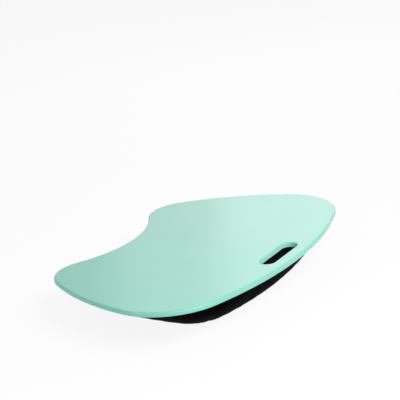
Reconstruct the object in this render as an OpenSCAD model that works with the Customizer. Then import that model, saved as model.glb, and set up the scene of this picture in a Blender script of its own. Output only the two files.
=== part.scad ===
// Lap desk: a bean-shaped moulded board with a hand slot, fixed on a bead-filled cushion.
// Millimetres. X runs to the user's right, Y away from the user and Z up.
// The cushion stands on Z = 0, and the board's outline is centred on the Z axis.

/* [Board] */
// Width across the widest point
board_w = 614; // [600:1:630]
// Depth from the front lobes to the back edge
board_d = 385; // [375:1:395]
// Thickness over the rim
board_t = 8.5; // [8.5:0.5:14]
// How far the belly notch reaches in from the front lobes
notch_depth = 47; // [42:1:54]
// Radius of the long back edge
back_r = 715; // [660:5:790]
// Radius of the two rear shoulders
shoulder_r = 115; // [106:1:122]
// Radius of the two sides
side_r = 475; // [430:5:540]
// Radius of the two front lobes
lobe_r = 71; // [64:1:76]
// Radius of the belly notch
notch_r = 227; // [210:1:240]
// Rounding of the rim's upper edge
rim_r = 3; // [2:0.5:4]
// Rounding under the rim
rim_under_r = 1.5; // [0.75:0.25:2]
// Wall of the moulded shell
skin_t = 2.2; // [1.8:0.1:2.8]
// Fillet between the shell's wall and its ceiling
hollow_r = 1; // [0.5:0.25:1.5]

/* [Hand slot] */
// Length of the slot
slot_l = 110; // [95:1:120]
// Width of the slot
slot_w = 28; // [26:1:32]
// Width of the grip bar between the slot and the back edge
grip_w = 24.5; // [22:0.5:28]
// Rounding of the slot's upper edge
slot_round = 2.5; // [1.5:0.5:3.5]

/* [Ribs and bosses] */
// Thickness of the ribs under the skin
rib_t = 1.8; // [1.4:0.1:2.4]
// Distance from rib to rib
rib_pitch = 52; // [44:1:58]
// Diameter of the screw bosses
boss_d = 8; // [7:0.5:9]

/* [Base panel] */
// Thickness of the hardboard panel that closes the shell
panel_t = 2.6; // [2.4:0.1:3]
// How far the panel sits up inside the rim
panel_recess = 0.8; // [0.4:0.1:1.2]

/* [Screws] */
// Diameter over the thread
screw_d = 3; // [2.5:0.1:3.5]
// Diameter of the countersunk head
screw_head_d = 6; // [5.5:0.1:6.5]
// Length from the head's flat to the tip
screw_l = 6; // [5.25:0.25:6.25]
// Distance of the screws from the board's edge
screw_inset = 13; // [11:0.5:18]

/* [Cushion] */
// Height of the cushion from the floor to the board
cushion_h = 61.5; // [54:0.5:70]
// Width across the widest bulge
cushion_w = 430; // [415:1:450]
// Distance of the bulge from the board's back edge
cushion_back = 38.5; // [35:0.5:45]
// Distance of the bulge from the board's front lobes
cushion_front = 42.5; // [36:0.5:50]
// How far the cushion's own notch reaches in
cushion_notch = 20; // [16:1:24]
// Radius of the bulge along the back
cushion_back_r = 700; // [600:10:900]
// Radius of the bulge at the rear shoulders
cushion_shoulder_r = 78; // [76:1:88]
// Radius of the bulge along the sides
cushion_side_r = 620; // [520:10:760]
// Radius of the bulge at the front lobes
cushion_lobe_r = 85; // [80:1:90]
// Radius of the bulge in the notch
cushion_notch_r = 300; // [280:5:340]
// Height of the widest bulge over the floor
bulge_z = 38; // [30:1:42]
// How far the bulge stands out past the top seam
bulge_over = 36; // [28:1:40]
// How far the bulge draws in to the flat underneath
bulge_under = 68; // [50:1:72]
// Depth to which the crowned underside is pressed flat
floor_flat = 0.5; // [0.3:0.1:0.8]
// Thickness of the cover's fabric
fabric_t = 1.2; // [0.9:0.1:1.5]
// Width of the cover's hem under the board
hem_w = 6; // [4:0.5:8]

/* [Staples] */
// Width of a staple's crown
staple_w = 10; // [8:0.5:12]
// Thickness of the staple wire
staple_wire = 0.7; // [0.5:0.1:0.9]
// Length of a staple's legs
staple_leg = 3.2; // [2.4:0.1:3.3]
// Distance of the staples from the inner edge of the hem
staple_inset = 5; // [4:0.5:8]

/* [Bead bag] */
// Thickness of the inner bag's cloth
bag_t = 0.5; // [0.4:0.1:0.8]
// Room between the cover and the bag
bag_room = 2; // [1.8:0.1:2.4]

/* [Zip] */
// Length of the zip along the notch
zip_l = 180; // [150:1:185]
// Width of one tape
tape_w = 5; // [4:0.5:6]
// Thickness of the tapes
tape_t = 0.8; // [0.6:0.1:1]
// Radius of the toothed cord on each tape
coil_r = 0.9; // [0.8:0.05:1]
// Opening between the two toothed cords
coil_gap = 1.8; // [1.6:0.1:2]
// Length of the slider
slider_l = 9; // [8:0.5:11]
// Thickness of the slider's plates
slider_t = 1.2; // [1:0.1:1.4]
// Length of the pull tab
pull_l = 24; // [18:1:28]
// Width of the pull tab
pull_w = 5; // [4:0.5:6]
// Diameter of the pin that the pull swings on
pull_pin_d = 1.4; // [1.2:0.1:1.6]

/* [Clearances] */
// Gap around the panel, the collar and the layers of the cushion
fit_gap = 0.3; // [0.2:0.05:0.4]
// Radial clearance of the screws and the staple legs in their holes
hole_gap = 0.05; // [0.04:0.01:0.1]
// Radial clearance of the pull on its pin
pin_gap = 0.1; // [0.06:0.01:0.12]

/* [Hidden] */

mint = "#a9e0cd";
black = "#141414";
$fn = 64;

// Levels, from the floor up
board_z = cushion_h;
panel_z = board_z + panel_recess;
panel_top_z = panel_z + panel_t;
skin_z = board_z + board_t - skin_t;
top_z = board_z + board_t;
hem_z = panel_z - fabric_t;
overlap = 1;

// Hand slot
slot_y = board_d / 2 - grip_w - slot_w / 2;

// A bean outline is five tangent arcs on each side of the Y axis: back, shoulder, side,
// lobe and notch. It is kept as [centres, radii, turns], where turns are the angles at
// which one arc hands over to the next, and the last is where the notch begins.
function heading(a, b) = atan2(b.y - a.y, b.x - a.x);

function circle_meet(a, ra, b, rb) =
  let (
    span = norm(b - a),
    along = (ra * ra - rb * rb + span * span) / (2 * span),
    off = sqrt(ra * ra - along * along),
    dir = (b - a) / span,
    foot = a + along * dir,
    one = foot + off * [dir.y, -dir.x],
    two = foot - off * [dir.y, -dir.x]
  )
  one.x < two.x ? one : two;

function bean(w, y_back, y_front, y_notch, r) =
  let (
    back = [0, y_back - r[0]],
    shoulder_x = w / 2 - r[1],
    shoulder = [shoulder_x, back.y + sqrt(pow(r[0] - r[1], 2) - shoulder_x * shoulder_x)],
    notch = [0, y_notch - r[4]],
    lobe_y = y_front + r[3],
    lobe = [sqrt(pow(r[3] + r[4], 2) - pow(lobe_y - notch.y, 2)), lobe_y],
    side = circle_meet(shoulder, r[2] - r[1], lobe, r[2] - r[3])
  )
  [
    [back, shoulder, side, lobe, notch],
    r,
    [
      heading(back, shoulder), heading(side, shoulder), heading(side, lobe),
      heading(lobe, notch), heading(notch, lobe)
    ]
  ];

board_edge = bean(
  board_w, board_d / 2, -board_d / 2, notch_depth - board_d / 2,
  [back_r, shoulder_r, side_r, lobe_r, notch_r]
);

cushion_front_y = cushion_front - board_d / 2;
cushion_edge = bean(
  cushion_w, board_d / 2 - cushion_back, cushion_front_y, cushion_front_y + cushion_notch,
  [cushion_back_r, cushion_shoulder_r, cushion_side_r, cushion_lobe_r, cushion_notch_r]
);

// A point at fraction f along arc k of an outline, moved in by inset
function arc_from(b, k) = k == 0 ? 90 : k == 4 ? b[2][4] : b[2][k - 1];
function arc_to(b, k) = k == 4 ? 90 : b[2][k];
function arc_point(b, k, f, inset) =
  let (
    a = arc_from(b, k) + f * (arc_to(b, k) - arc_from(b, k)),
    r = k == 4 ? b[1][k] + inset : b[1][k] - inset
  )
  b[0][k] + r * [cos(a), sin(a)];
function arc_facing(b, k, f) = arc_from(b, k) + f * (arc_to(b, k) - arc_from(b, k));

// The outline as a closed list of points, clockwise from the middle of the back
function bean_half(b, inset, steps) = [
  for (k = [0:4]) for (j = [0:steps[k] - 1]) arc_point(b, k, j / steps[k], inset)
];
function bean_points(b, inset, steps) =
  let (
    right = bean_half(b, inset, steps),
    front = arc_point(b, 4, 1, inset),
    n = len(right)
  )
  concat(right, [front], [for (i = [n - 1:-1:1]) [-right[i].x, right[i].y]]);

board_steps = [8, 12, 9, 12, 8];
cushion_steps = [5, 6, 3, 8, 6];

// Rings of points round an outline, one for each [inset, height], as triangles between
// each ring and the next. The surface is seen from outside where the rings go down.
function ring(b, section, steps) = [
  for (p = bean_points(b, section[0], steps)) [p.x, p.y, section[1]]
];
function rings(b, sections, steps) = [for (s = sections) each ring(b, s, steps)];
function ring_faces(n, from, to) = [
  for (i = [from:to], j = [0:n - 1])
    let (
      a = i * n + j,
      b = i * n + (j + 1) % n,
      c = a + n,
      d = b + n
    )
    each [[a, d, b], [a, c, d]]
];
function fan_faces(n, i, hub, up) = [
  for (j = [0:n - 1])
    let (a = i * n + j, b = i * n + (j + 1) % n)
    up ? [hub, a, b] : [hub, b, a]
];

// A solid through the rings, closed by a flat face inside its first and its last ring
module loft(b, sections, steps) {
  n = len(bean_points(b, 0, steps));
  last = len(sections) - 1;
  hub_y = (arc_point(b, 0, 0, 0).y + arc_point(b, 4, 1, 0).y) / 2;
  polyhedron(
    points = concat(
      rings(b, sections, steps),
      [[0, hub_y, sections[0][1]], [0, hub_y, sections[last][1]]]
    ),
    faces = concat(
      ring_faces(n, 0, last - 1),
      fan_faces(n, 0, n * (last + 1), true),
      fan_faces(n, last, n * (last + 1) + 1, false)
    ),
    convexity = 6
  );
}

// A ring-shaped solid: the last ring joins the first
module loft_ring(b, sections, steps) {
  n = len(bean_points(b, 0, steps));
  total = n * len(sections);
  polyhedron(
    points = rings(b, sections, steps),
    faces = [
      for (f = ring_faces(n, 0, len(sections) - 1)) [for (v = f) v % total]
    ],
    convexity = 6
  );
}

module bean_slab(b, inset, t, steps) {
  linear_extrude(t)
    polygon(bean_points(b, inset, steps));
}

module stadium(l, w, h) {
  for (x = [-1, 1])
    translate([x * (l - w) / 2, 0, 0])
      cylinder(d = w, h = h);
  translate([-(l - w) / 2, -w / 2, 0])
    cube([l - w, w, h]);
}

// Board

function reversed(list) = [for (i = [len(list) - 1:-1:0]) list[i]];
function mirrored(p) = [for (q = p) each [q, [-q.x, q.y]]];

// The screws stand clear of the slot and leave the cushion free
screw_places = mirrored([
  arc_point(board_edge, 0, 0.4, screw_inset),
  arc_point(board_edge, 1, 0.02, screw_inset),
  arc_point(board_edge, 1, 0.5, screw_inset),
  arc_point(board_edge, 2, 0.3, screw_inset),
  arc_point(board_edge, 3, 0.25, screw_inset),
  arc_point(board_edge, 4, 0.3, screw_inset)
]);

module at_screws() {
  for (p = screw_places)
    translate([p.x, p.y, panel_z])
      children();
}

// Plan of the ribs, crossing at right angles
module rib_plan() {
  columns = floor(board_w / 2 / rib_pitch);
  rows = floor(board_d / 2 / rib_pitch);
  intersection() {
    union() {
      for (i = [-columns:columns])
        translate([i * rib_pitch - rib_t / 2, -board_d / 2])
          square([rib_t, board_d]);
      for (j = [-rows:rows])
        translate([-board_w / 2, j * rib_pitch - rib_t / 2])
          square([board_w, rib_t]);
    }
    polygon(bean_points(board_edge, skin_t / 2, board_steps));
  }
}

module slot_flare() {
  end_x = (slot_l - slot_w) / 2;
  for (x = [-end_x, end_x])
    translate([x, slot_y, top_z - slot_round])
      rotate_extrude()
        difference() {
          square([slot_w / 2 + slot_round, slot_round + overlap]);
          translate([slot_w / 2 + slot_round, 0])
            circle(slot_round);
        }
  for (side = [0, 1])
    translate([-end_x, slot_y, top_z - slot_round])
      mirror([0, side, 0])
        rotate([90, 0, 90])
          linear_extrude(2 * end_x)
            difference() {
              square([slot_w / 2 + slot_round, slot_round + overlap]);
              translate([slot_w / 2 + slot_round, 0])
                circle(slot_round);
            }
}

// Cross-section of the tray, from the flat top over the rim and up to its hollow's ceiling
function quarter(cx, cy, rx, ry, n) = [
  for (i = [0:n]) [cx - rx * sin(i * 90 / n), cy + ry * cos(i * 90 / n)]
];
rim_steps = 5;
under_steps = 2;
hollow_steps = 3;
tray_section = concat(
  quarter(rim_r, top_z - rim_r, rim_r, rim_r, rim_steps),
  reversed(quarter(rim_under_r, board_z + rim_under_r, rim_under_r, -rim_under_r, under_steps)),
  [[skin_t, board_z]],
  reversed(quarter(skin_t + hollow_r, skin_z - hollow_r, hollow_r, hollow_r, hollow_steps))
);

module top_shell() {
  boss_h = skin_z - panel_top_z + overlap;
  pilot_depth = screw_l - panel_t + fit_gap;
  color(mint)
    difference() {
      union() {
        loft(board_edge, tray_section, board_steps);
        translate([0, 0, panel_top_z])
          linear_extrude(skin_z - panel_top_z + overlap)
            rib_plan();
        translate([0, slot_y, board_z])
          stadium(slot_l + 2 * skin_t, slot_w + 2 * skin_t, board_t - skin_t / 2);
        for (p = screw_places)
          translate([p.x, p.y, panel_top_z])
            cylinder(d = boss_d, h = boss_h);
      }
      translate([0, slot_y, board_z - overlap])
        stadium(slot_l, slot_w, board_t + 2 * overlap);
      slot_flare();
      for (p = screw_places)
        translate([p.x, p.y, panel_top_z - overlap])
          cylinder(d = screw_d + 2 * hole_gap, h = pilot_depth + overlap);
    }
}

module countersink(d, head_d) {
  cylinder(d1 = head_d, d2 = d, h = (head_d - d) / 2);
}

module base_panel() {
  hole_d = screw_d + 2 * fit_gap;
  color(black)
    difference() {
      translate([0, 0, panel_z])
        bean_slab(board_edge, skin_t + fit_gap, panel_t, board_steps);
      translate([0, slot_y, panel_z - overlap])
        stadium(
          slot_l + 2 * skin_t + 2 * fit_gap, slot_w + 2 * skin_t + 2 * fit_gap,
          panel_t + 2 * overlap
        );
      at_screws() {
        translate([0, 0, -overlap])
          cylinder(d = hole_d, h = panel_t + 2 * overlap);
        countersink(hole_d, screw_head_d + 2 * fit_gap);
      }
      staple_legs(hole_gap);
    }
}

// Screws with a cross recess in the head
module panel_screws() {
  drive_l = 3.3;
  drive_w = 0.9;
  drive_depth = 1.2;
  color("silver")
    at_screws()
      difference() {
        union() {
          countersink(screw_d, screw_head_d);
          cylinder(d = screw_d, h = screw_l);
        }
        for (turn = [0, 90])
          rotate([0, 0, turn])
            translate([-drive_l / 2, -drive_w / 2, -overlap])
              cube([drive_l, drive_w, drive_depth + overlap]);
      }
}

// Cushion

// Cross-section of the cushion at angle a, from 90 at the hem over 0 at the widest bulge
// to -90 underneath, moved inwards by d. It gives [inset from the outline, height].
function puff(a, d) =
  let (
    over = a > 0 ? bulge_over : bulge_under,
    rise = a > 0 ? hem_z - bulge_z : bulge_z + floor_flat,
    slope = norm([rise * cos(a), over * sin(a)])
  )
  [
    over * (1 - cos(a)) + d * rise * cos(a) / slope,
    max(0, bulge_z + rise * sin(a) - d * over * sin(a) / slope)
  ];

// Window for the zip. The band has a ring of points just above it and one just below it.
window_h = coil_gap + 2 * tape_w + 2 * hole_gap;
window_reach = window_h / 2 + fit_gap;
window_upper_a = asin(window_reach / (hem_z - bulge_z));
window_lower_a = -asin(window_reach / (bulge_z + floor_flat));
window_out = 4;
window_in = fit_gap + max([
  for (a = [window_upper_a, window_lower_a]) puff(a, max(fabric_t, tape_t))[0]
]);

seam_a = -50;
band_angles = [90, 70, 50, 33, window_upper_a, 0, window_lower_a, -22, -36, seam_a];
under_angles = [seam_a, -63, -76, -90];
bag_angles = [90, 70, 50, 30, 10, -10, -28, -46, -68, -90];
hem_inset = bulge_over + hem_w;

module cover_top_panel() {
  color(black)
    difference() {
      translate([0, 0, hem_z])
        bean_slab(cushion_edge, bulge_over, fabric_t, cushion_steps);
      staple_legs(hole_gap);
    }
}

module cover_side_band() {
  outer = [for (a = band_angles) puff(a, 0)];
  inner = [for (a = band_angles) puff(a, fabric_t)];
  color(black)
    difference() {
      loft_ring(
        cushion_edge,
        concat(
          [[hem_inset, hem_z]], outer, reversed(inner), [[hem_inset, hem_z - fabric_t]]
        ),
        cushion_steps
      );
      zip_sweep(window_half_a)
        translate([-window_out, -window_h / 2])
          square([window_out + window_in, window_h]);
    }
}

module cover_bottom_panel() {
  outer = [for (a = under_angles) puff(a, 0)];
  inner = [for (a = under_angles) puff(a, fabric_t)];
  color(black)
    loft(cushion_edge, concat(reversed(inner), outer), cushion_steps);
}

// The bag lies close under the hem and on the bottom panel, with more room at the sides
function bag_sections(d) = [
  for (a = bag_angles)
    let (p = puff(a, fabric_t + fit_gap + d))
    [p[0] + bag_room * cos(a), p[1]]
];

module bead_bag() {
  color("dimgray")
    difference() {
      loft(cushion_edge, bag_sections(0), cushion_steps);
      loft(cushion_edge, bag_sections(bag_t), cushion_steps);
    }
}

module bead_fill() {
  color("white")
    loft(cushion_edge, bag_sections(bag_t + fit_gap), cushion_steps);
}

// Staples through the top panel into the base panel
staple_places = [
  for (k = [0:4], f = [0.15:0.35:0.85])
    let (p = arc_point(cushion_edge, k, f, hem_inset + staple_inset))
    for (side = [1, -1])
      [side * p.x, p.y, side * (arc_facing(cushion_edge, k, f) - 90)]
];

module at_staples() {
  for (p = staple_places)
    translate([p[0], p[1], hem_z])
      rotate([0, 0, p[2]])
        children();
}

module staple_legs(gap) {
  side = staple_wire + 2 * gap;
  at_staples()
    for (x = [-1, 1])
      translate([x * (staple_w - staple_wire) / 2 - side / 2, -side / 2, -gap])
        cube([side, side, staple_leg + 2 * gap]);
}

module cover_staples() {
  color("silver") {
    at_staples()
      translate([-staple_w / 2, -staple_wire / 2, -staple_wire])
        cube([staple_w, staple_wire, staple_wire]);
    staple_legs(0);
  }
}

// Zip, on the arc of the cushion's notch. Its profiles have X = 0 on the fabric's outer
// face, X growing into the cushion, and Y = 0 between the two tapes.
zip_r = cushion_notch_r;
zip_centre = cushion_edge[0][4];
zip_half_a = zip_l / zip_r / 2 * 180 / PI;
window_half_a = zip_half_a + hole_gap / zip_r * 180 / PI;
tape_edge_y = coil_gap / 2;
coil_y = tape_edge_y + coil_r;

module zip_sweep(half_a) {
  translate([zip_centre.x, zip_centre.y, bulge_z])
    rotate([0, 0, 90 - half_a])
      rotate_extrude(angle = 2 * half_a, $fn = 360)
        translate([zip_r, 0])
          children();
}

// A tape is flat behind its toothed cord and then follows the band's bulge
module zip_tape(side) {
  edge_x = puff(side == 0 ? window_upper_a : window_lower_a, 0)[0];
  turn_y = coil_y + coil_r;
  face = [[0, tape_edge_y], [0, turn_y], [edge_x, tape_edge_y + tape_w]];
  color(black)
    zip_sweep(zip_half_a)
      mirror([0, side])
        polygon(concat(face, reversed([for (p = face) [p.x + tape_t, p.y]])));
}

module zip_tape_upper() zip_tape(0);
module zip_tape_lower() zip_tape(1);

// A toothed cord is flat against its tape and round outside
module zip_coil(side) {
  color("#202020")
    zip_sweep(zip_half_a - stop_a)
      mirror([0, side])
        translate([0, coil_y])
          intersection() {
            translate([-coil_r / 2, 0])
              circle(coil_r, $fn = 32);
            translate([-2 * coil_r, -coil_r])
              square([2 * coil_r, 2 * coil_r]);
          }
}

module zip_coil_upper() zip_coil(0);
module zip_coil_lower() zip_coil(1);

coil_front = 1.5 * coil_r;
stop_l = 3;
stop_a = stop_l / zip_r * 180 / PI;
slider_half_a = slider_l / zip_r / 2 * 180 / PI;
slider_rest_a = zip_half_a - stop_a - slider_half_a - fit_gap / zip_r * 180 / PI;

// Turns its children from the middle of the notch round to angle a, with X pointing out
// of the cushion, Y along the zip and Z up, and the origin on the fabric's outer face
module on_zip(a) {
  translate([zip_centre.x, zip_centre.y, bulge_z])
    rotate([0, 0, a])
      translate([0, zip_r, 0])
        rotate([0, 0, -90])
          children();
}

module zip_end_stops() {
  stop_h = 2 * (coil_y + coil_r);
  color("#303030")
    for (end = [-1, 1])
      on_zip(end * (zip_half_a - stop_a / 2))
        translate([0, fit_gap - stop_l / 2, -stop_h / 2])
          cube([coil_front, stop_l - 2 * fit_gap, stop_h]);
}

// Slider: a front plate over the toothed cords, a web between them and a back plate
plate_x = coil_front + fit_gap;
lip_z = coil_y + coil_r + fit_gap;
web_half = coil_gap / 2 - fit_gap;
back_x = -tape_t - fit_gap;
pin_r = pull_pin_d / 2;
barrel_wall = 0.7;
barrel_r = pin_r + pin_gap + barrel_wall;
pin_x = plate_x + slider_t + barrel_r + fit_gap;
ear_t = 1;
ear_w = pull_pin_d + 1;
slider_inner = 2 * lip_z - 2 * ear_t;
barrel_h = slider_inner - 2 * fit_gap;

module zip_slider() {
  width = 2 * (lip_z + slider_t);
  back_w = width * 2 / 3;
  ear_reach = pin_x - plate_x;
  color("#3a3a3a")
    on_zip(-slider_rest_a) {
      translate([plate_x, -slider_l / 2, -width / 2])
        cube([slider_t, slider_l, width]);
      for (side = [0, 1])
        mirror([0, 0, side])
          translate([fit_gap, -slider_l / 2, lip_z])
            cube([plate_x - fit_gap + overlap, slider_l, slider_t]);
      translate([back_x - slider_t, -slider_l / 2, -web_half])
        cube([plate_x - back_x + slider_t + overlap, slider_l / 2, 2 * web_half]);
      translate([back_x - slider_t, -slider_l / 2, -back_w / 2])
        cube([slider_t, slider_l, back_w]);
      for (side = [0, 1])
        mirror([0, 0, side])
          translate([plate_x, 0, slider_inner / 2]) {
            translate([0, -ear_w / 2, 0])
              cube([ear_reach, ear_w, ear_t]);
            translate([ear_reach, 0, 0])
              cylinder(d = ear_w, h = ear_t, $fn = 32);
          }
      translate([pin_x, 0, -slider_inner / 2 - ear_t / 2])
        cylinder(r = pin_r, h = slider_inner + ear_t, $fn = 32);
    }
}

module zip_pull() {
  tab_t = 1;
  neck_l = 2 * pull_pin_d;
  color("#3a3a3a")
    on_zip(-slider_rest_a)
      translate([pin_x, 0, 0])
        difference() {
          union() {
            translate([0, 0, -barrel_h / 2])
              cylinder(r = barrel_r, h = barrel_h, $fn = 32);
            translate([-tab_t / 2, 0, -barrel_h / 2])
              cube([tab_t, pull_l / 2, barrel_h]);
            translate([-tab_t / 2, neck_l, -pull_w / 2])
              cube([tab_t, pull_l - neck_l, pull_w]);
          }
          translate([0, 0, -barrel_h])
            cylinder(r = pin_r + pin_gap, h = 2 * barrel_h, $fn = 32);
        }
}

top_shell();
base_panel();
panel_screws();
cover_top_panel();
cover_side_band();
cover_bottom_panel();
cover_staples();
bead_bag();
bead_fill();
zip_tape_upper();
zip_tape_lower();
zip_coil_upper();
zip_coil_lower();
zip_end_stops();
zip_slider();
zip_pull();
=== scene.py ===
import math

import bmesh
import bpy
import numpy as np
from mathutils import Matrix, Vector


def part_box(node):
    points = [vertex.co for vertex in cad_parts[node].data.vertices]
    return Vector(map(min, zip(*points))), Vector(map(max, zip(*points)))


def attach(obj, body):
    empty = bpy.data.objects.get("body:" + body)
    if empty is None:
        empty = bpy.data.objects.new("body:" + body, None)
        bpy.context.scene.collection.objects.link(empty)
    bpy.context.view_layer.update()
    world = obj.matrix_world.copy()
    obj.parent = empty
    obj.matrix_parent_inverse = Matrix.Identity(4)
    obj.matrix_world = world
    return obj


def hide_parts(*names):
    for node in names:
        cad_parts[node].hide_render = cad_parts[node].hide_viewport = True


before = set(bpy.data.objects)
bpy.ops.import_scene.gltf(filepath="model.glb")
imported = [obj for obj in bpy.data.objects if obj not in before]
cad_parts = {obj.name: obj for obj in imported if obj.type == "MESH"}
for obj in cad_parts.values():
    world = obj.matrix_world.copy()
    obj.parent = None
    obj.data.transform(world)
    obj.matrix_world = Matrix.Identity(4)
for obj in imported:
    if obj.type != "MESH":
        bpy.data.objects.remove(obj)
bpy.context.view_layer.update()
mm = 0.001
print("frame loaded")

# Camera, solved for the photograph's view of the board

view = {
    "place": (2.5413, 1.5384, 1.096),
    "azimuth": 30.88,
    "elevation": 19.08,
    "roll": -6.17,
    "lens": 160.1,
    "sensor": 36,
    "shift": (-0.0248, 0.1155),
    "clip": (0.05, 50),
}


def placeCamera(s):
    azimuth, elevation, roll = (math.radians(s[k]) for k in ("azimuth", "elevation", "roll"))
    level = math.cos(elevation)
    forward = -Vector((level * math.cos(azimuth), level * math.sin(azimuth), math.sin(elevation)))
    right = forward.cross(Vector((0, 0, 1))).normalized()
    up = right.cross(forward)
    rolledRight = math.cos(roll) * right + math.sin(roll) * up
    rolledUp = math.cos(roll) * up - math.sin(roll) * right
    data = bpy.data.cameras.new("camera")
    data.sensor_width = s["sensor"]
    data.lens = s["lens"]
    data.shift_x, data.shift_y = s["shift"]
    data.clip_start, data.clip_end = s["clip"]
    camera = bpy.data.objects.new("camera", data)
    turned = Matrix((rolledRight, rolledUp, -forward)).transposed().to_4x4()
    turned.translation = Vector(s["place"])
    camera.matrix_world = turned
    bpy.context.scene.collection.objects.link(camera)
    bpy.context.scene.camera = camera


placeCamera(view)

# Materials

waveUnit = math.pi / 10  # a wave texture of Scale 1 repeats at this distance


def toLinear(code):
    parts = [int(code[i:i + 2], 16) / 255 for i in (1, 3, 5)]
    return tuple(c / 12.92 if c <= 0.04045 else ((c + 0.055) / 1.055) ** 2.4 for c in parts) + (1.0,)


def addNode(tree, kind, settings=None, links=None):
    # settings go to a ramp's stops, to the node's own fields or else to its sockets; links fill
    # its inputs
    node = tree.nodes.new(kind)
    for name, value in (settings or {}).items():
        if name == "stops":
            for element, (position, code) in zip(node.color_ramp.elements, value):
                element.position, element.color = position, toLinear(code)
        elif isinstance(name, str) and hasattr(node, name):
            setattr(node, name, value)
        else:
            node.inputs[name].default_value = value
    for name, source in (links or {}).items():
        tree.links.new(source, node.inputs[name])
    return node


def startMaterial(name, look):
    # look holds what is the same all over, or what a pattern then varies
    material = bpy.data.materials.new(name)
    material.use_nodes = True
    tree = material.node_tree
    shader = tree.nodes["Principled BSDF"]
    for socket, value in look.items():
        shader.inputs[socket].default_value = value
    coords = addNode(tree, "ShaderNodeTexCoord").outputs["Object"]
    return material, tree, shader, coords


def showPattern(tree, shader, factor, colours=None, rough=None, depth=None):
    # lets a pattern show in the surface's colour, roughness or height; colours and rough hold the
    # values at its low and high end, and then where these ends lie
    if colours:
        dark, light, low, high = colours
        stops = ((low, dark), (high, light))
        ramp = addNode(tree, "ShaderNodeValToRGB", {"stops": stops}, {"Fac": factor})
        tree.links.new(ramp.outputs["Color"], shader.inputs["Base Color"])
    if rough:
        span = dict(zip(("To Min", "To Max", "From Min", "From Max"), rough))
        value = addNode(tree, "ShaderNodeMapRange", span, {"Value": factor})
        tree.links.new(value.outputs["Result"], shader.inputs["Roughness"])
    if depth:
        relief = {"Distance": depth, "Strength": 1.0}
        bump = addNode(tree, "ShaderNodeBump", relief, {"Height": factor})
        tree.links.new(bump.outputs["Normal"], shader.inputs["Normal"])


# Injection-moulded ABS from a polished mould: a clean colour with a soft gloss, and both drift a
# little from one end of the board to the other
def mintAbs():
    s = {"body": "#78cab4", "light": "#7dceb9", "drift": 120 * mm, "grain": 2.5 * mm, "depth": 0.002 * mm}
    material, tree, shader, coords = startMaterial("mintAbs", {"Roughness": 0.24, "IOR": 1.54})
    drift, grain = (
        addNode(tree, "ShaderNodeTexNoise", {"Scale": 1 / size, "Detail": 1.0}, {"Vector": coords})
        for size in (s["drift"], s["grain"])
    )
    colours = (s["body"], s["light"], 0.35, 0.65)
    showPattern(tree, shader, drift.outputs["Fac"], colours, (0.21, 0.26, 0.3, 0.7))
    showPattern(tree, shader, grain.outputs["Fac"], depth=s["depth"])
    return material


# Tempered hardboard, pressed from wood fibre and sprayed black: matt with short raised fibres
def paintedHardboard():
    s = {"paint": "#111110", "fibre": "#1d1c1a", "length": 3.5 * mm, "depth": 0.12 * mm}
    s["spray"] = 71.43 * mm
    material, tree, shader, coords = startMaterial("paintedHardboard", {"Roughness": 0.62, "IOR": 1.5})
    strands = {"Scale": 1 / s["length"], "Detail": 5.0, "Roughness": 0.65, "Distortion": 1.2}
    fibre = addNode(tree, "ShaderNodeTexNoise", strands, {"Vector": coords}).outputs["Fac"]
    mist = {"Scale": 1 / s["spray"], "Detail": 2.0}
    spray = addNode(tree, "ShaderNodeTexNoise", mist, {"Vector": coords}).outputs["Fac"]
    showPattern(tree, shader, fibre, (s["paint"], s["fibre"], 0.4, 0.7), depth=s["depth"])
    showPattern(tree, shader, spray, rough=(0.52, 0.72, 0.3, 0.7))
    return material


# Zinc-plated steel, barrel plated: bright grey with a slightly clouded, tumbled skin
def zincPlate():
    s = {"zinc": "#aeb1b4", "bright": "#c9cccf", "cloud": 1.6 * mm, "depth": 0.03 * mm}
    material, tree, shader, coords = startMaterial("zincPlate", {"Metallic": 1.0, "Roughness": 0.34})
    skin = {"Scale": 1 / s["cloud"], "Detail": 4.0}
    cloud = addNode(tree, "ShaderNodeTexNoise", skin, {"Vector": coords}).outputs["Fac"]
    colours = (s["zinc"], s["bright"], 0.35, 0.65)
    showPattern(tree, shader, cloud, colours, (0.26, 0.44, 0.3, 0.7), s["depth"])
    return material


# Threads crossing at right angles along the three axes. Those along the axis that a face of the
# cloth looks down fade out, so that any face shows the other two.
def threads(tree, coords, pitch):
    facing = addNode(tree, "ShaderNodeTexCoord").outputs["Normal"]
    facing = addNode(tree, "ShaderNodeSeparateXYZ", links={"Vector": facing})
    yarn = {"wave_type": "BANDS", "Scale": waveUnit / pitch, "Distortion": 0.6}
    yarn.update({"Detail": 1.0, "Detail Scale": 2.0})
    fade = {"To Min": 1.0, "To Max": 0.0, "From Min": 0.2, "From Max": 0.8}
    total = None
    for axis in ("X", "Y", "Z"):
        along = dict(yarn, bands_direction=axis)
        wave = addNode(tree, "ShaderNodeTexWave", along, {"Vector": coords}).outputs["Fac"]
        power = {"operation": "POWER", 1: 2.0}
        square = addNode(tree, "ShaderNodeMath", power, {0: facing.outputs[axis]}).outputs[0]
        share = addNode(tree, "ShaderNodeMapRange", fade, {"Value": square}).outputs["Result"]
        shown = addNode(tree, "ShaderNodeMath", {"operation": "MULTIPLY"}, {0: wave, 1: share}).outputs[0]
        if total is not None:
            shown = addNode(tree, "ShaderNodeMath", {"operation": "ADD"}, {0: total, 1: shown}).outputs[0]
        total = shown
    return total


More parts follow.
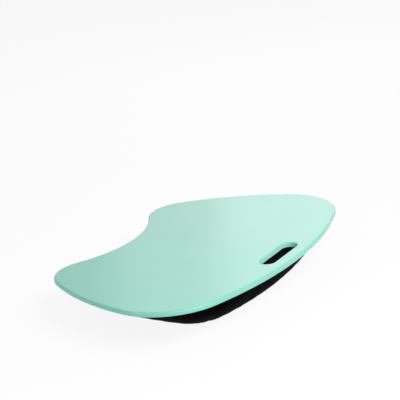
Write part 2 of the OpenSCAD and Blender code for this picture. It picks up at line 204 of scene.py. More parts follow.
def wovenCloth(name, s):
    look = {"Roughness": 0.92, "IOR": 1.45, "Specular IOR Level": 0.06}
    look.update({"Sheen Weight": s["sheen"], "Sheen Roughness": 0.45, "Sheen Tint": toLinear(s["fuzzSheen"])})
    material, tree, shader, coords = startMaterial(name, look)
    weave = threads(tree, coords, s["pitch"])
    patches = {"Scale": 1 / (45.45 * mm), "Detail": 5.0}
    patch = addNode(tree, "ShaderNodeTexNoise", patches, {"Vector": coords}).outputs["Fac"]
    # the mean of the three axes' threads, darker and lighter in patches
    mean = addNode(tree, "ShaderNodeMath", {"operation": "MULTIPLY", 1: 0.33}, {0: weave}).outputs[0]
    mixed = addNode(tree, "ShaderNodeMath", {"operation": "MULTIPLY"}, {0: mean, 1: patch}).outputs[0]
    showPattern(tree, shader, mixed, (s["dark"], s["light"], 0.1, 0.45))
    showPattern(tree, shader, weave, rough=(0.84, 0.98, 0.5, 2.5))
    slack = {"Distance": 0.5 * mm, "Strength": 0.3}
    slack = addNode(tree, "ShaderNodeBump", slack, {"Height": patch}).outputs["Normal"]
    raised = {"Distance": s["depth"], "Strength": 0.8}
    raised = addNode(tree, "ShaderNodeBump", raised, {"Height": weave, "Normal": slack}).outputs["Normal"]
    tree.links.new(raised, shader.inputs["Normal"])
    return material


# Black polyester cover cloth, plain woven from textured yarn: deep black that greys at grazing
# light. The real thread spacing of 0.6 mm is too fine to show, so it is drawn at 1.2 mm.
def coverCloth():
    s = {"dark": "#020202", "light": "#090909", "pitch": 1.2 * mm, "depth": 0.18 * mm}
    s.update({"sheen": 0.01, "fuzzSheen": "#8a8f94"})
    return wovenCloth("coverCloth", s)


# Zip tape, polyester twill woven tight: flatter and denser than the cover
def zipTape():
    s = {"dark": "#08080a", "light": "#151517", "pitch": 0.7 * mm, "depth": 0.1 * mm}
    s.update({"sheen": 0.05, "fuzzSheen": "#8a8f94"})
    return wovenCloth("zipTape", s)


# Nonwoven liner of the inner bag: grey, thin and a little fuzzy
def linerCloth():
    s = {"dark": "#4c4d50", "light": "#66686b", "pitch": 1.5 * mm, "depth": 0.15 * mm}
    s.update({"sheen": 0.12, "fuzzSheen": "#c9cccf"})
    return wovenCloth("linerCloth", s)


# Spun polyester sewing thread: black, with its fuzz and a soft sheen along the twist painted into the
# colour as lighter bands
def sewingThread():
    s = {"thread": "#0c0c0d", "fuzzSheen": "#202022", "twist": 0.45 * mm, "depth": 0.06 * mm}
    look = {"Roughness": 0.6, "IOR": 1.5, "Sheen Weight": 0.1}
    material, tree, shader, coords = startMaterial("sewingThread", look)
    plies = {"bands_direction": "DIAGONAL", "Scale": waveUnit / s["twist"], "Distortion": 0.3}
    twist = addNode(tree, "ShaderNodeTexWave", plies, {"Vector": coords}).outputs["Fac"]
    # colour: lighter bands along the twist, partly the thread's fuzz and partly painted sheen
    showPattern(tree, shader, twist, (s["thread"], s["fuzzSheen"], 0.0, 1.0), depth=s["depth"])
    return material


# Nylon monofilament, wound and heat set: smooth, slightly glossy black
def coilNylon():
    s = {"nylon": "#0a0a0b", "light": "#141416", "draw": 1.4 * mm, "depth": 0.02 * mm}
    material, tree, shader, coords = startMaterial("coilNylon", {"Roughness": 0.32, "IOR": 1.53})
    marks = {"Scale": 1 / s["draw"], "Detail": 3.0}
    draw = addNode(tree, "ShaderNodeTexNoise", marks, {"Vector": coords}).outputs["Fac"]
    colours = (s["nylon"], s["light"], 0.3, 0.7)
    showPattern(tree, shader, draw, colours, (0.26, 0.4, 0.3, 0.7), s["depth"])
    return material


# Die-cast zinc alloy with baked black enamel: glossy, with paint slightly gathered in the cast skin
def enamelledZinc():
    s = {"enamel": "#101113", "light": "#1b1c1f", "skin": 0.8 * mm, "depth": 0.03 * mm}
    look = {"Roughness": 0.28, "IOR": 1.52, "Coat Weight": 0.4, "Coat Roughness": 0.12}
    material, tree, shader, coords = startMaterial("enamelledZinc", look)
    cast = {"Scale": 1 / s["skin"], "Detail": 3.0}
    skin = addNode(tree, "ShaderNodeTexNoise", cast, {"Vector": coords}).outputs["Fac"]
    colours = (s["enamel"], s["light"], 0.3, 0.7)
    showPattern(tree, shader, skin, colours, (0.22, 0.4, 0.3, 0.7), s["depth"])
    return material


# Expanded polystyrene beads, blown and tumbled: chalk-white balls of about 3 mm packed together, with
# painted shade in the gaps between them
def polystyreneBeads():
    # gap is a painted shade colour for the hollows between the balls; the beads themselves are all
    # chalk-white
    s = {"gap": "#b9bab6", "bead": "#f1f1ee", "size": 3.2 * mm, "depth": 1.2 * mm}
    look = {"Roughness": 0.8, "IOR": 1.55, "Subsurface Weight": 0.1, "Subsurface Scale": 1.5 * mm}
    material, tree, shader, coords = startMaterial("polystyreneBeads", look)
    cells = addNode(tree, "ShaderNodeTexVoronoi", {"Scale": 1 / s["size"]}, {"Vector": coords})
    dome = {"To Min": 1.0, "To Max": 0.0, "From Min": 0.0, "From Max": 0.7}
    ball = addNode(tree, "ShaderNodeMapRange", dome, {"Value": cells.outputs["Distance"]}).outputs["Result"]
    # colour: painted shade, grey in the gaps between the balls up to white at their middles; the same
    # pattern gives their relief
    showPattern(tree, shader, ball, (s["gap"], s["bead"], 0.05, 0.4), depth=s["depth"])
    return material


mint = mintAbs()
hardboard = paintedHardboard()
zinc = zincPlate()
cloth = coverCloth()
tapeCloth = zipTape()
liner = linerCloth()
thread = sewingThread()
nylon = coilNylon()
enamel = enamelledZinc()
beads = polystyreneBeads()
print("materials made")

# Outlines and meshes


def heading(a, b):
    return math.degrees(math.atan2(b[1] - a[1], b[0] - a[0]))


def circlesMeet(a, ra, b, rb):
    # of the two crossings, the one on the left
    span = b - a
    length = span.length
    along = (ra * ra - rb * rb + length * length) / (2 * length)
    off = math.sqrt(ra * ra - along * along)
    unit = span / length
    foot = a + along * unit
    side = Vector((unit.y, -unit.x))
    return min((foot + off * side, foot - off * side), key=lambda p: p.x)


def beanArcs(width, yBack, yFront, yNotch, radii):
    # five tangent arcs on the right half: back, shoulder, side, lobe and notch
    rBack, rShoulder, rSide, rLobe, rNotch = radii
    back = Vector((0, yBack - rBack))
    shoulderX = width / 2 - rShoulder
    shoulder = Vector((shoulderX, back.y + math.sqrt((rBack - rShoulder) ** 2 - shoulderX ** 2)))
    notch = Vector((0, yNotch - rNotch))
    lobeY = yFront + rLobe
    lobe = Vector((math.sqrt((rLobe + rNotch) ** 2 - (lobeY - notch.y) ** 2), lobeY))
    side = circlesMeet(shoulder, rSide - rShoulder, lobe, rSide - rLobe)
    circles = [(back, rBack), (shoulder, rShoulder), (side, rSide), (lobe, rLobe)]
    turns = [90, heading(back, shoulder), heading(side, shoulder)]
    turns += [heading(side, lobe), heading(lobe, notch)]
    arcs = [(c, r, turns[i], turns[i + 1], 1) for i, (c, r) in enumerate(circles)]
    return arcs + [(notch, rNotch, heading(notch, lobe), 90, -1)]


class Outline:
    # stations round a closed outline, which keep their number and order at every inset
    def __init__(self, centres, radii, angles, sense):
        self.centres = np.array(centres, float)
        self.radii = np.array(radii, float)
        turned = np.radians(np.array(angles, float))
        self.rays = np.stack([np.cos(turned), np.sin(turned)], 1)
        self.sense = np.array(sense, float)
        self.count = len(self.radii)

    def outward(self):
        return self.rays * self.sense[:, None]

    def at(self, inset, z):
        flat = self.centres + (self.radii - self.sense * inset)[:, None] * self.rays
        return np.column_stack([flat, np.full(self.count, z)])


def beanOutline(arcs, step, windowHalf=None):
    # windowHalf is an angle on the notch arc where a station has to lie
    right = []
    for centre, radius, start, end, sense in arcs:
        stops = [start, end]
        if sense < 0 and windowHalf:
            stops = [start, 90 - windowHalf, end]
        for a, b in zip(stops, stops[1:]):
            n = max(2, round(math.radians(abs(b - a)) * radius / step))
            right += [(centre, radius, a + (b - a) * i / n, sense) for i in range(n)]
    front = (arcs[-1][0], arcs[-1][1], 90.0, -1)
    left = [(Vector((-c.x, c.y)), r, 180 - a, s) for c, r, a, s in reversed(right[1:])]
    stations = right + [front] + left
    return Outline([tuple(p[0]) for p in stations], *[[p[i] for p in stations] for i in (1, 2, 3)])


def stadiumOutline(length, width, y, n):
    # n steps round each end
    centres, angles = [], []
    for side, start in ((1, 90), (-1, 270)):
        for i in range(n + 1):
            centres.append((side * (length - width) / 2, y))
            angles.append(start - 180 * i / n)
    return Outline(centres, [width / 2] * len(angles), angles, [1] * len(angles))


def ringFaces(rows, columns):
    faces = []
    for i in range(rows - 1):
        for j in range(columns):
            a, b = i * columns + j, i * columns + (j + 1) % columns
            faces.append((a, b, b + columns, a + columns))
    return faces


def newPiece(name, points, faces, material, smoothAngle=None):
    mesh = bpy.data.meshes.new(name)
    mesh.from_pydata([tuple(p) for p in points], [], faces)
    mesh.materials.append(material)
    piece = bpy.data.objects.new(name, mesh)
    bpy.context.scene.collection.objects.link(piece)
    if smoothAngle:
        finishSurface(piece, smoothAngle)
    return piece


def finishSurface(piece, smoothAngle):
    shape = bmesh.new()
    shape.from_mesh(piece.data)
    bmesh.ops.recalc_face_normals(shape, faces=shape.faces)
    shape.to_mesh(piece.data)
    shape.free()
    piece.data.polygons.foreach_set("use_smooth", [True] * len(piece.data.polygons))
    piece.data.set_sharp_from_angle(angle=math.radians(smoothAngle))


def fillFlat(piece, *loops):
    # closes the flat space inside the first loop of vertex numbers, around any further loops
    shape = bmesh.new()
    shape.from_mesh(piece.data)
    shape.verts.ensure_lookup_table()
    edges = []
    for loop in loops:
        for a, b in zip(loop, loop[1:] + loop[:1]):
            pair = (shape.verts[a], shape.verts[b])
            edges.append(shape.edges.get(pair) or shape.edges.new(pair))
    bmesh.ops.triangle_fill(shape, edges=edges, use_beauty=True)
    shape.to_mesh(piece.data)
    shape.free()


def applyModifier(piece, kind, **settings):
    modifier = piece.modifiers.new(kind.title(), kind)
    for name, value in settings.items():
        setattr(modifier, name, value)
    bpy.context.view_layer.update()
    result = bpy.data.meshes.new_from_object(piece.evaluated_get(bpy.context.evaluated_depsgraph_get()))
    piece.modifiers.clear()
    old = piece.data
    piece.data = result
    bpy.data.meshes.remove(old)


# Board: a moulded tray with a rounded rim and a collar round the hand slot

lowShell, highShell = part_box("top_shell")

board = {
    "radii": (0.715, 0.115, 0.475, 0.071, 0.227),
    "notch": 47 * mm,
    "rimRound": (3 * mm, 1.5 * mm),  # above and below
    "rimSteps": (11, 5),
    "slotRound": (2.5 * mm, 0.8 * mm),
    "slotSteps": (9, 4),
    "slot": (110 * mm, 28 * mm),
    "grip": 24.5 * mm,
    "wall": 2.2 * mm,
    "flat": 0.7 * mm,  # the plain strip beside a rounding
    "step": 6 * mm,
}


def edgeSection(side, rounds, steps, s):
    # an edge as (inset, z): over it from the top, under it, and up the wall's inner face; side is
    # 1 for the rim and -1 for the slot
    above, below = rounds
    top, under, wall, flat = highShell.z, lowShell.z, s["wall"], s["flat"]
    over, back = (np.linspace(0, math.pi / 2, n) for n in steps)
    section = [(above + flat, top)]
    section += [(above - above * math.sin(a), top - above + above * math.cos(a)) for a in over]
    section += [(below - below * math.cos(a), under + below - below * math.sin(a)) for a in back]
    section += [(wall - flat / 2, under), (wall, under + flat / 2), (wall, top - wall)]
    return [(side * inset, z) for inset, z in section]


def makeBoard(s):
    yBack, yFront = highShell.y, lowShell.y
    arcs = beanArcs(highShell.x - lowShell.x, yBack, yFront, yFront + s["notch"], s["radii"])
    edge = beanOutline(arcs, s["step"])
    slot = stadiumOutline(*s["slot"], yBack - s["grip"] - s["slot"][1] / 2, 20)
    outer = edgeSection(1, s["rimRound"], s["rimSteps"], s)
    inner = edgeSection(-1, s["slotRound"], s["slotSteps"], s)
    points = np.concatenate([edge.at(*p) for p in outer] + [slot.at(*p) for p in inner])
    start = len(outer) * edge.count
    faces = ringFaces(len(outer), edge.count)
    faces += [tuple(start + v for v in f) for f in ringFaces(len(inner), slot.count)]
    piece = newPiece("boardShell", points, faces, mint)
    for rowEdge, rowSlot in ((0, 0), (len(outer) - 1, len(inner) - 1)):
        around = [rowEdge * edge.count + j for j in range(edge.count)]
        hole = [start + rowSlot * slot.count + j for j in range(slot.count)]
        fillFlat(piece, around, hole)
    finishSurface(piece, 40)
    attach(piece, "desk")
    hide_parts("top_shell")


makeBoard(board)
print("board made")

# Cushion: a zipped cloth cover round a bead bag, blown up by a cloth simulation

lowBand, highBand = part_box("cover_side_band")

cushion = {
    "radii": (0.700, 0.078, 0.620, 0.085, 0.300),
    "notch": 20 * mm,
    "bulge": 38 * mm,  # height of the widest place
    "over": 36 * mm,  # how far it draws in above that, and below
    "under": 68 * mm,
    "flat": 0.5 * mm,
    "seamAngle": -50,
    "seamFlank": 2.2,
    "seamGroove": (1.3 * mm, 1.3),  # depth, and half its width as an angle
    "hem": 6 * mm,
    "hemTurn": (1.2 * mm, 0.4 * mm),
    "footRings": (2 * mm, 4 * mm),
    "clothThick": 1.2 * mm,
    "step": 4.5 * mm,
    "zipLength": 180 * mm,
    "windowEase": 0.05 * mm,  # at each end of the zip
    "windowHeight": 11.9 * mm,
    "windowSlack": (0.01 * mm, 0.06 * mm),  # so that points on its edge count as in it
    "zipDepth": 60 * mm,  # only what lies in front of this, past the notch, can touch the zip
    "zipHolds": (1 * mm, 14 * mm),  # the cloth is held so near the zip, and freed over the second
    "pinned": 0.02,
    "ripple": 0.25 * mm,
    "gather": 0.35 * mm,
    "hemGathers": (6, 3.5),  # how fast they rise from the hem, and fade
    "seamGathers": (0.8, 9),  # their share at the seam, and the angle over which they fade
    "underBoard": 0.2 * mm,
    "drawIn": 1.5 * mm,
    "bagRoom": 1.9 * mm,
    "swellFront": 1.4 * mm,
    "swellBack": 2.9 * mm,
    "fullFrom": (-30 * mm, 60 * mm),
    "softness": 4 * mm,
    "frames": 20,
    "cloth": {
        "quality": 6,
        "mass": 0.2,
        "tension_stiffness": 8,
        "compression_stiffness": 8,
        "shear_stiffness": 4,
        "bending_stiffness": 0.3,
        "use_pressure": True,
        "uniform_pressure_force": 4.0,
        "shrink_min": -0.03,
    },
}
notchRadius = cushion["radii"][4]
windowHalf = math.degrees((cushion["zipLength"] / 2 + cushion["windowEase"]) / notchRadius)
puffUp = highBand.z - cushion["bulge"]
puffDown = cushion["bulge"] + cushion["flat"]
yNotch = lowBand.y + cushion["notch"]
notchCentre = Vector((0, yNotch - notchRadius))


def puff(angle, d=0.0):
    # cross-section of the cushion: 90 at the hem, 0 at the widest bulge, -90 underneath
    s = cushion
    a = math.radians(angle)
    reach, rise = (s["over"], puffUp) if angle > 0 else (s["under"], puffDown)
    slope = math.hypot(rise * math.cos(a), reach * math.sin(a))
    inset = reach * (1 - math.cos(a)) + d * rise * math.cos(a) / slope
    z = s["bulge"] + rise * math.sin(a) - d * reach * math.sin(a) / slope
    return inset, max(0.0, z)


def heightAngle(dz):
    return math.degrees(math.asin(dz / (puffUp if dz > 0 else puffDown)))


def sectionAngles(s):
    # rows of the cloth, with one on each edge of the zip's window and three at the seam
    seam, flank, half = s["seamAngle"], s["seamFlank"], s["windowHeight"] / 2
    stops = [90, heightAngle(half), heightAngle(-half), seam + flank, seam, seam - flank, -90]
    found = []
    for a, b in zip(stops, stops[1:]):
        insideA, zA = puff(a)
        insideB, zB = puff(b)
        n = max(1, round(math.hypot(insideA - insideB, zA - zB) / s["step"]))
        found += [a + (b - a) * i / n for i in range(n)]
    return found + [-90]


def setCrease(mesh, vertices):
    marked = set(vertices)
    edgeLayer = mesh.attributes.new("crease_edge", "FLOAT", "EDGE")
    vertLayer = mesh.attributes.new("crease_vert", "FLOAT", "POINT")
    for e in mesh.edges:
        if e.vertices[0] in marked and e.vertices[1] in marked:
            edgeLayer.data[e.index].value = 1.0
    for v in marked:
        vertLayer.data[v].value = 1.0


def inflate(piece, pinned, s):
    # where the cloth's points go when the bag inside it swells
    group = piece.vertex_groups.new(name="pinned")
    group.add(pinned, 1.0, "REPLACE")
    modifier = piece.modifiers.new("Cloth", "CLOTH")
    modifier.settings.vertex_group_mass = "pinned"
    for name, value in s["cloth"].items():
        setattr(modifier.settings, name, value)
    modifier.settings.effector_weights.gravity = 0
    modifier.point_cache.frame_start = 1
    modifier.point_cache.frame_end = s["frames"]
    scene = bpy.context.scene
    for f in range(1, s["frames"] + 1):
        scene.frame_set(f)
    blown = piece.evaluated_get(bpy.context.evaluated_depsgraph_get()).data
    result = np.zeros(len(blown.vertices) * 3)
    blown.vertices.foreach_get("co", result)
    piece.modifiers.clear()
    piece.vertex_groups.clear()
    scene.frame_set(1)
    return result.reshape(-1, 3)


def pillowWaves(station, count):
    # a steady mix of waves round the outline, the same each run
    turn = 2 * math.pi * station / count
    even = np.sin(37 * turn + 1.3)
    drifting = 0.7 * np.sin(53 * turn + 4.1 * np.sin(3 * turn))
    fine = 0.5 * np.sin(71 * turn + 2)
    return even + drifting + fine


def besideZip(base, s):
    # each point's distance from the zip's middle along the notch, and from the zip's window, or
    # a whole metre for points that aren't at the notch
    fromCentre = base[:, :2] - np.array(notchCentre)
    along = np.abs(np.arctan2(fromCentre[:, 0], fromCentre[:, 1])) * notchRadius
    offEnd = np.maximum(along - s["zipLength"] / 2, 0)
    offSide = np.maximum(np.abs(base[:, 2] - s["bulge"]) - s["windowHeight"] / 2, 0)
    atNotch = base[:, 1] < yNotch + s["zipDepth"]
    along = np.where(atNotch, along, 1.0)
    return along, np.where(atNotch, np.hypot(offEnd, offSide), 1.0)


def cutWindow(piece, inWindow):
    # takes out the faces whose points all lie in the window, and gives the points round the hole
    shape = bmesh.new()
    shape.from_mesh(piece.data)
    cut = [f for f in shape.faces if all(inWindow[v.index] for v in f.verts)]
    bmesh.ops.delete(shape, geom=cut, context="FACES_ONLY")
    around = [v for v in shape.verts if v.is_boundary and v.link_faces]
    bmesh.ops.delete(shape, geom=[e for e in shape.edges if not e.link_faces], context="EDGES")
    bmesh.ops.delete(shape, geom=[v for v in shape.verts if not v.link_faces], context="VERTS")
    shape.verts.index_update()
    numbers = [v.index for v in around]
    shape.to_mesh(piece.data)
    shape.free()
    return numbers


def makeCushion(s):
    arcs = beanArcs(highBand.x - lowBand.x, highBand.y, lowBand.y, yNotch, s["radii"])
    edge = beanOutline(arcs, s["step"], windowHalf)
    angles = sectionAngles(s)
    panelTop = highBand.z + s["clothThick"]
    turnIn, turnDown = s["hemTurn"]
    head = [(s["over"] + s["hem"], panelTop), (s["over"] + turnIn, panelTop)]
    head.append((s["over"], panelTop - turnDown))
    foot = [(s["under"] + reach, 0.0) for reach in s["footRings"]]
    section = head + [puff(a) for a in angles] + foot
    rows, columns = len(section), edge.count
    base = np.concatenate([edge.at(*p) for p in section])
    row = np.repeat(np.arange(rows), columns)
    station = np.tile(np.arange(columns), rows)
    first, last = len(head), len(head) + len(angles) - 1
    angle = np.array([90.0] * len(head) + angles + [-90.0] * len(foot))[row]

    # outward normals of the plain form, from its section
    slope = np.gradient(np.array(section), axis=0)
    length = np.maximum(np.hypot(slope[:, 0], slope[:, 1]), 1e-9)
    outside, upwards = (-slope[:, 1] / length)[row], (-slope[:, 0] / length)[row]
    normal = np.column_stack([np.tile(edge.outward(), (rows, 1)) * outside[:, None], upwards])

    # how free the cloth is: held at the hem, underneath and round the zip
    alongZip, offZip = besideZip(base, s)
    held, freed = s["zipHolds"]
    free = np.clip((offZip - held) / freed, 0, 1)
    free = free * free * (3 - 2 * free)
    free[(row <= first) | (row >= last)] = 0

    piece = newPiece("cushionCover", base, ringFaces(rows, columns), cloth)
    fillFlat(piece, list(range(columns)))
    fillFlat(piece, [(rows - 1) * columns + j for j in range(columns)])
    finishSurface(piece, 180)
    swell = np.zeros(len(base))
    ripple = s["ripple"] * pillowWaves(station, columns) * free
    start = base + normal * ripple[:, None]
    piece.data.vertices.foreach_set("co", start.ravel())
    pinned = [int(i) for i in np.flatnonzero(free < s["pinned"])]
    blown = inflate(piece, pinned, s)
    swell = np.einsum("ij,ij->i", blown - base, normal)
    least, greatest = (round(float(v) / mm, 2) for v in (swell.min(), swell.max()))
    print("cloth moved", least, "to", greatest, "mm")

    # the beads lie fuller towards the back, and the front lobes stay drawn in
    level = np.cos(np.radians(angle))
    full = np.interp(base[:, 1], s["fullFrom"], (0, 1))
    most = s["swellFront"] + (s["swellBack"] - s["swellFront"]) * full
    swell = most * np.tanh(np.maximum(swell, 0) / s["softness"]) - s["drawIn"] * level * (1 - full)

    # gathers that the stapled hem and the bottom seam leave in the cloth, and the seam's groove;
    # the bag inside keeps the cloth from lying deeper
    fromHem = np.abs(90 - angle) / 90
    fromSeam = np.abs(angle - s["seamAngle"])
    (rise, fade), (share, reach) = s["hemGathers"], s["seamGathers"]
    gathered = np.exp(-fromHem * fade) * np.clip(fromHem * rise, 0, 1) + share * np.exp(-fromSeam / reach)
    lift = swell + s["gather"] * pillowWaves(station, columns) * gathered
    lift *= free
    depth, width = s["seamGroove"]
    lift -= depth * np.exp(-(fromSeam / width) ** 2)
    lift = np.maximum(lift, -s["bagRoom"] * level)
    shaped = base + normal * lift[:, None]
    shaped[:, 2] = np.maximum(shaped[:, 2], 0)
    under = row > first
    shaped[under, 2] = np.minimum(shaped[under, 2], panelTop - s["underBoard"])
    piece.data.vertices.foreach_set("co", shaped.ravel())

    # the zip's window is cut out, and its edge stays crisp
    slack, endSlack = s["windowSlack"]
    inWindow = np.abs(base[:, 2] - s["bulge"]) < s["windowHeight"] / 2 + slack
    inWindow &= alongZip < s["zipLength"] / 2 + endSlack
    inWindow &= (row >= first) & (row <= last)
    setCrease(piece.data, cutWindow(piece, inWindow))
    applyModifier(piece, "SUBSURF", levels=1, render_levels=1)
    applyModifier(piece, "SOLIDIFY", thickness=s["clothThick"], offset=-1)
    finishSurface(piece, 60)
    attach(piece, "desk")
    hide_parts("cover_top_panel", "cover_side_band", "cover_bottom_panel")
    return shaped.reshape(rows, columns, 3), normal.reshape(rows, columns, 3), angles, first


coverGrid, coverNormals, coverAngles, coverFirst = makeCushion(cushion)
print("cushion made")

# Stitches: short lengths of thread that lie on the cloth

stitching = {
    "pitch": 3.6 * mm,
    "length": 2.7 * mm,
    "radius": 0.32 * mm,
    "proud": 0.6,  # of the radius
    "sides": 6,
    # rings of one stitch: where in its length, how thick, and how far sunk into the cloth
    "rings": (
        (-1 / 2, 0.25, 0.9), (-1 / 3, 0.85, 0.15), (0, 1, 0), (1 / 3, 0.85, 0.15), (1 / 2, 0.25, 0.9),
    ),
    "offSeam": 4.2,
    "offZip": 2.2 * mm,
}


def stitchRow(name, line, normals, s):
    # the line is closed
    line, normals = (np.vstack([rows, rows[:1]]) for rows in (line, normals))
    gaps = np.linalg.norm(np.diff(line, axis=0), axis=1)
    reach = np.concatenate([[0], np.cumsum(gaps)])
    count = int(reach[-1] / s["pitch"])
    rings, sides = s["rings"], s["sides"]
    points, faces = [], []
    for k in range(count):
        middle = (k + 0.5) * reach[-1] / count
        stops = np.clip([middle + ring[0] * s["length"] for ring in rings], 0, reach[-1])
        places = np.stack([np.interp(stops, reach, line[:, i]) for i in range(3)], 1)
        up = np.array([np.interp(middle, reach, normals[:, i]) for i in range(3)])
        up /= np.linalg.norm(up)
        along = places[-1] - places[0]
        along /= np.linalg.norm(along)
        across = np.cross(along, up)
        start = len(points)
        for place, (_, thick, sunk) in zip(places, rings):
            heart = place + up * s["radius"] * (s["proud"] - sunk)
            for i in range(sides):
                turn = 2 * math.pi * i / sides
                ray = math.cos(turn) * across + math.sin(turn) * up
                points.append(heart + s["radius"] * thick * ray)
        faces += [tuple(start + v for v in f) for f in ringFaces(len(rings), sides)]
        faces += [tuple(end + i for i in range(sides)) for end in (start, len(points) - sides)]
    piece = newPiece(name, points, faces, thread, 80)
    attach(piece, "desk")


def sewCover(s):
    angles = np.array(coverAngles)
    for name, off in (("seamStitchesUpper", s["offSeam"]), ("seamStitchesLower", -s["offSeam"])):
        wanted = cushion["seamAngle"] + off
        row = int(np.searchsorted(-angles, -wanted))
        share = (angles[row - 1] - wanted) / (angles[row - 1] - angles[row])
        near, far = coverFirst + row - 1, coverFirst + row
        line, up = (grid[near] * (1 - share) + grid[far] * share for grid in (coverGrid, coverNormals))
        stitchRow(name, line, up, s)


def notchPoint(turn, inset, z):
    # a point over the notch's arc, turned from its middle; inset grows into the cushion
    r = notchRadius + inset
    return (notchCentre.x + r * math.sin(turn), notchCentre.y + r * math.cos(turn), z)


def sewZip(s):
    # along one side of the window, across its end, and the same on the other side
    half = cushion["windowHeight"] / 2 + s["offZip"]
    reach = math.radians(windowHalf) + s["offZip"] / notchRadius
    stops = []
    for sign in (1, -1):
        side, end = sign * half, sign * reach
        stops += [(turn, heightAngle(side)) for turn in np.linspace(-end, end, 60)]
        stops += [(end, heightAngle(side - 2 * side * share)) for share in np.linspace(0.1, 0.9, 9)]
    line, up = [], []
    for turn, angle in stops:
        line.append(notchPoint(turn, *puff(angle)))
        out = Vector(notchPoint(turn, *puff(angle, -1 * mm))) - Vector(line[-1])
        up.append(tuple(out.normalized()))
    stitchRow("zipStitches", line, up, s)


sewCover(stitching)
sewZip(stitching)
print("stitches sewn")

# Zip: coils of nylon on their tapes, and softened castings

coil = {
    "gap": 1.8 * mm,
    "radius": 0.9 * mm,
    "flatness": 1.5,  # its depth in radii
    "wire": 0.3 * mm,
    "wireSides": 5,
    "pitch": 1.3 * mm,
    "perTurn": 10,
    "stop": 3 * mm,
}


def makeCoil(name, node, sign, s):
    half = (cushion["zipLength"] / 2 - s["stop"]) / notchRadius
    steps = round(2 * half * notchRadius / s["pitch"]) * s["perTurn"]
    centreY = s["gap"] / 2 + s["radius"]
    deep = (s["flatness"] * s["radius"] - 2 * s["wire"]) / 2
    wide = s["radius"] - s["wire"]
    spine = []
    for i in range(steps + 1):
        a = 2 * math.pi * i / s["perTurn"]
        along = half * (2 * i / steps - 1)
        out = s["flatness"] / 2 * s["radius"] + deep * math.cos(a)
        up = centreY + wide * math.sin(a)
        spine.append(Vector(notchPoint(along, -out, cushion["bulge"] + sign * up)))
    points, sides = [], s["wireSides"]
    for i, p in enumerate(spine):
        ahead = (spine[min(i + 1, steps)] - spine[max(i - 1, 0)]).normalized()
        radial = Vector((p.x - notchCentre.x, p.y - notchCentre.y, 0)).normalized()
        u = (radial - ahead * radial.dot(ahead)).normalized()
        v = ahead.cross(u)
        for k in range(sides):
            turn = 2 * math.pi * k / sides
            points.append(p + s["wire"] * (math.cos(turn) * u + math.sin(turn) * v))
    faces = ringFaces(len(spine), sides)
    faces += [tuple(end + k for k in range(sides)) for end in (0, steps * sides)]
    piece = newPiece(name, points, faces, nylon, 80)
    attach(piece, "desk")
    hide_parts(node)


makeCoil("zipCoilUpper", "zip_coil_upper", 1, coil)
makeCoil("zipCoilLower", "zip_coil_lower", -1, coil)


castings = [
    # node, name, body, slot, material, width and steps of the rounding
    ("zip_slider", "zipSlider", "slider", "zip_metal", enamel, 0.25 * mm, 2),
    ("zip_pull", "zipPull", "pull", "zip_metal", enamel, 0.2 * mm, 2),
    ("zip_end_stops", "zipEndStops", "desk", "zip_metal", enamel, 0.3 * mm, 2),
    ("panel_screws", "panelScrews", "desk", "zinc_steel", zinc, 0.12 * mm, 1),
]


def softenEdges(node, name, body, slotName, material, width, segments):
    # the node's own form with its edges rounded as a casting's are
    shape = bmesh.new()
    shape.from_mesh(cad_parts[node].data)
    bmesh.ops.remove_doubles(shape, verts=shape.verts, dist=0.005 * mm)
    bmesh.ops.dissolve_limit(shape, angle_limit=math.radians(1), verts=shape.verts, edges=shape.edges)
    mesh = bpy.data.meshes.new(name)
    shape.to_mesh(mesh)
    shape.free()
    mesh.materials.append(material)
    piece = bpy.data.objects.new(name, mesh)
    bpy.context.scene.collection.objects.link(piece)
    applyModifier(
        piece, "BEVEL", width=width, segments=segments, limit_method="ANGLE",
        angle_limit=math.radians(50), harden_normals=False, use_clamp_overlap=True,
    )
    finishSurface(piece, 40)
    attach(piece, body)
    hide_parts(node)


for casting in castings:
    softenEdges(*casting)
print("zip made")

carriedOver = {
    "base_panel": hardboard,
    "cover_staples": zinc,
    "bead_bag": liner,
    "bead_fill": beads,
    "zip_tape_upper": tapeCloth,
    "zip_tape_lower": tapeCloth,
}
for node, material in carriedOver.items():
    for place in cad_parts[node].material_slots:
        place.material = material

# Floor, background and lamps

studio = {
    "floor": "#ffffff",
    "floorSize": 12.0,
    "floorDrop": 0.2 * mm,
    "floorGlow": 0.9,
    "backdrop": "#ffffff",
    "ambient": 0.23,
    "lamps": [
        # name, place, aim, size, watts
        ("sideLamp", (0.3, 2.0, 1.9), (0, 0.1, 0.05), (2.2, 1.0), 56),
        ("rimLamp", (1.5, 1.9, 1.7), (0, 0.1, 0.05), (1.4, 1.0), 18),
        ("frontLamp", (2.3, -0.9, 0.5), (0.2, 0, 0.05), (1.0, 0.6), 7),
        ("rearLamp", (-1.87, -0.4, 0.75), (-0.1, 0.05, 0.05), (1.2, 0.9), 2.7),
        ("rearFill", (-1.45, -0.65, 0.75), (0, 0, 0.05), (0.9, 0.9), 1.6),
    ],
}


def seenRays(tree):
    # 1 where the camera looks, straight on, in a reflection or through something clear
    path = addNode(tree, "ShaderNodeLightPath")
    seen = path.outputs["Is Camera Ray"]
    for ray in ("Is Glossy Ray", "Is Transmission Ray"):
        either = {0: seen, 1: path.outputs[ray]}
        seen = addNode(tree, "ShaderNodeMath", {"operation": "MAXIMUM"}, either).outputs[0]
    return seen


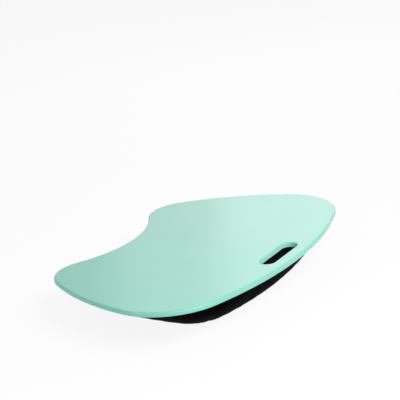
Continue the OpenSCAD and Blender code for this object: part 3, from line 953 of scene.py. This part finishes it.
def makeWorld(s):
    # white where it is seen, and dimmer where it lights the object
    world = bpy.data.worlds.new("studioWorld")
    world.use_nodes = True
    tree = world.node_tree
    tree.nodes.clear()
    dim, white = (
        addNode(tree, "ShaderNodeBackground", {"Color": toLinear(s["backdrop"]), "Strength": strength})
        for strength in (s["ambient"], 1.0)
    )
    links = {0: seenRays(tree), 1: dim.outputs[0], 2: white.outputs[0]}
    mixed = addNode(tree, "ShaderNodeMixShader", links=links).outputs[0]
    addNode(tree, "ShaderNodeOutputWorld", links={"Surface": mixed})
    bpy.context.scene.world = world


def makeFloor(s):
    # matt paint that takes the object's shadow, with a share of plain white where it is seen
    paint = bpy.data.materials.new("floorPaint")
    paint.use_nodes = True
    tree = paint.node_tree
    matt = tree.nodes["Principled BSDF"]
    matt.inputs["Base Color"].default_value = toLinear(s["floor"])
    matt.inputs["Roughness"].default_value = 0.9
    glow = addNode(tree, "ShaderNodeEmission", {"Color": toLinear(s["floor"]), "Strength": 1.0})
    part = {"operation": "MULTIPLY", 1: s["floorGlow"]}
    share = addNode(tree, "ShaderNodeMath", part, {0: seenRays(tree)}).outputs[0]
    links = {0: share, 1: matt.outputs[0], 2: glow.outputs[0]}
    lit = addNode(tree, "ShaderNodeMixShader", links=links).outputs[0]
    tree.links.new(lit, tree.nodes["Material Output"].inputs["Surface"])
    half = s["floorSize"] / 2
    corners = [(-half, -half, 0), (half, -half, 0), (half, half, 0), (-half, half, 0)]
    floor = newPiece("floor", corners, [(0, 1, 2, 3)], paint)
    floor.location.z = -s["floorDrop"]


def hangLamps(s):
    for name, place, aim, size, watts in s["lamps"]:
        data = bpy.data.lights.new(name, "AREA")
        data.shape = "RECTANGLE"
        data.size, data.size_y = size
        data.energy = watts
        lamp = bpy.data.objects.new(name, data)
        lamp.location = place
        lamp.rotation_euler = (Vector(aim) - Vector(place)).to_track_quat("-Z", "Y").to_euler()
        lamp.visible_camera = False
        bpy.context.scene.collection.objects.link(lamp)


makeWorld(studio)
makeFloor(studio)
hangLamps(studio)
bpy.context.scene.view_settings.view_transform = "Standard"
print("studio set")
